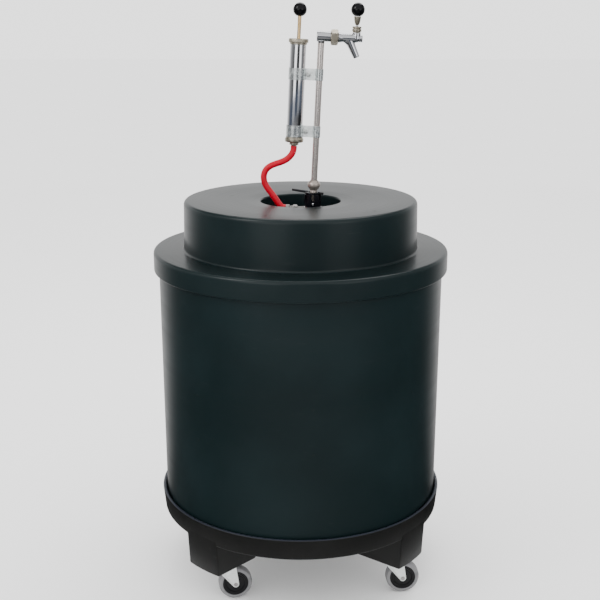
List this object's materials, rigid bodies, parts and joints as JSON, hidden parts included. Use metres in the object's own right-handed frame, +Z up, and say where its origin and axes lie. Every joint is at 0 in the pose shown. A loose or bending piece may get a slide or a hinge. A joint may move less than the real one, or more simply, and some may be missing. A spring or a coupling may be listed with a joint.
{
  "type": "mobile keg cooler",
  "caption": "Insulated round barrel on a castered dolly, with a stepped lift-off lid, a keg inside and a coupler, rod faucet and hand pump standing out of the lid for dispensing beer.",
  "frame": {"origin": "on the floor, under the centre of the barrel", "axes": "+Z up; +X toward the side that the faucet pours to; -Y is the front"},
  "size_m": [0.668, 0.668, 1.3135],
  "materials": {
    "moulded_plastic": "satin",
    "tray_plastic": "matte",
    "foam": "matte",
    "keg_steel": "satin",
    "chrome": "polished",
    "nickel": "satin",
    "brass": "polished",
    "zinc": "satin",
    "black_phenolic": "gloss",
    "black_nylon": "satin",
    "wheel_black": "satin",
    "wheel_grey": "matte",
    "red_vinyl": "gloss",
    "cup_leather": "matte"
  },
  "bodies": {
    "cooler": {"barrel_shell": "moulded_plastic", "barrel_liner": "moulded_plastic", "dolly_tray": "tray_plastic", "barrel_foam": "foam", "keg_shell": "keg_steel", "keg_top_chime": "keg_steel", "keg_bottom_chime": "keg_steel", "keg_valve": "keg_steel", "keg_spear": "keg_steel", "coupler_body": "chrome", "coupler_probe": "chrome", "gas_inlet": "chrome", "tap_rod": "chrome", "shank_tube": "chrome", "faucet_body": "chrome", "pump_cylinder": "chrome", "union_nut": "nickel", "coupling_nut": "nickel", "faucet_bonnet": "nickel", "pump_cap": "nickel", "pump_base_cap": "nickel", "pump_outlet": "nickel", "clamp_strap_lower": "zinc", "clamp_strap_upper": "zinc", "clamp_screw_lower": "zinc", "clamp_screw_upper": "zinc", "caster_plate_front_left": "zinc", "caster_plate_front_right": "zinc", "caster_plate_rear_right": "zinc", "caster_plate_rear_left": "zinc", "air_hose": "red_vinyl"},
    "lid": {"lid_shell": "moulded_plastic", "lid_foam": "foam", "lid_liner": "moulded_plastic"},
    "lock": {"coupler_collar": "black_nylon", "coupler_bar": "black_nylon", "collar_screw": "chrome"},
    "tap_lever": {"faucet_lever": "chrome", "lever_ferrule": "nickel", "lever_knob": "black_phenolic"},
    "tap_stem": {"faucet_shaft": "chrome"},
    "plunger": {"pump_rod": "brass", "pump_piston": "cup_leather", "pump_knob": "black_phenolic"},
    "swivel_front_left": {"caster_fork_front_left": "zinc", "caster_axle_front_left": "zinc"},
    "wheel_front_left": {"wheel_hub_front_left": "wheel_black", "wheel_tyre_front_left": "wheel_grey"},
    "swivel_front_right": {"caster_fork_front_right": "zinc", "caster_axle_front_right": "zinc"},
    "wheel_front_right": {"wheel_hub_front_right": "wheel_black", "wheel_tyre_front_right": "wheel_grey"},
    "swivel_rear_right": {"caster_fork_rear_right": "zinc", "caster_axle_rear_right": "zinc"},
    "wheel_rear_right": {"wheel_hub_rear_right": "wheel_black", "wheel_tyre_rear_right": "wheel_grey"},
    "swivel_rear_left": {"caster_fork_rear_left": "zinc", "caster_axle_rear_left": "zinc"},
    "wheel_rear_left": {"wheel_hub_rear_left": "wheel_black", "wheel_tyre_rear_left": "wheel_grey"}
  },
  "joints": [
    {"name": "lid_lift", "type": "slide", "parent": "cooler", "child": "lid", "axis": [0, 0, 1], "range_m": [0, 0.28]},
    {"name": "coupler_lock", "type": "hinge", "parent": "cooler", "child": "lock", "pos_m": [0.0275, 0, 0.885], "axis": [0, 0, 1], "range_deg": [0, 90]},
    {"name": "faucet_lever", "type": "hinge", "parent": "cooler", "child": "tap_lever", "pos_m": [0.12186, 0, 1.25503], "axis": [0, 1, 0], "range_deg": [0, 25]},
    {"name": "faucet_stem", "type": "slide", "parent": "cooler", "child": "tap_stem", "axis": [-0.9989, 0, 0.0471], "range_m": [0, 0.0076]},
    {"name": "pump_plunger", "type": "slide", "parent": "cooler", "child": "plunger", "axis": [0.0471, 0, 0.9989], "range_m": [-0.045, 0.13]},
    {"name": "swivel_front_left", "type": "hinge", "parent": "cooler", "child": "swivel_front_left", "pos_m": [-0.17647, -0.20698, 0.08], "axis": [0, 0, 1], "continuous": true},
    {"name": "roll_front_left", "type": "hinge", "parent": "swivel_front_left", "child": "wheel_front_left", "pos_m": [-0.14968, -0.20226, 0.0381], "axis": [-0.1736, 0.9848, 0], "continuous": true},
    {"name": "swivel_front_right", "type": "hinge", "parent": "cooler", "child": "swivel_front_right", "pos_m": [0.20698, -0.17647, 0.08], "axis": [0, 0, 1], "continuous": true},
    {"name": "roll_front_right", "type": "hinge", "parent": "swivel_front_right", "child": "wheel_front_right", "pos_m": [0.23415, -0.17505, 0.0381], "axis": [-0.0523, 0.9986, 0], "continuous": true},
    {"name": "swivel_rear_right", "type": "hinge", "parent": "cooler", "child": "swivel_rear_right", "pos_m": [0.17647, 0.20698, 0.08], "axis": [0, 0, 1], "continuous": true},
    {"name": "roll_rear_right", "type": "hinge", "parent": "swivel_rear_right", "child": "wheel_rear_right", "pos_m": [0.20352, 0.20983, 0.0381], "axis": [-0.1045, 0.9945, 0], "continuous": true},
    {"name": "swivel_rear_left", "type": "hinge", "parent": "cooler", "child": "swivel_rear_left", "pos_m": [-0.20698, 0.17647, 0.08], "axis": [0, 0, 1], "continuous": true},
    {"name": "roll_rear_left", "type": "hinge", "parent": "swivel_rear_left", "child": "wheel_rear_left", "pos_m": [-0.18012, 0.17221, 0.0381], "axis": [0.1564, 0.9877, 0], "continuous": true}
  ],
  "couplings": [
    {"joint": "faucet_stem", "follows": "faucet_lever", "m_per_rad": 0.0174}
  ]
}
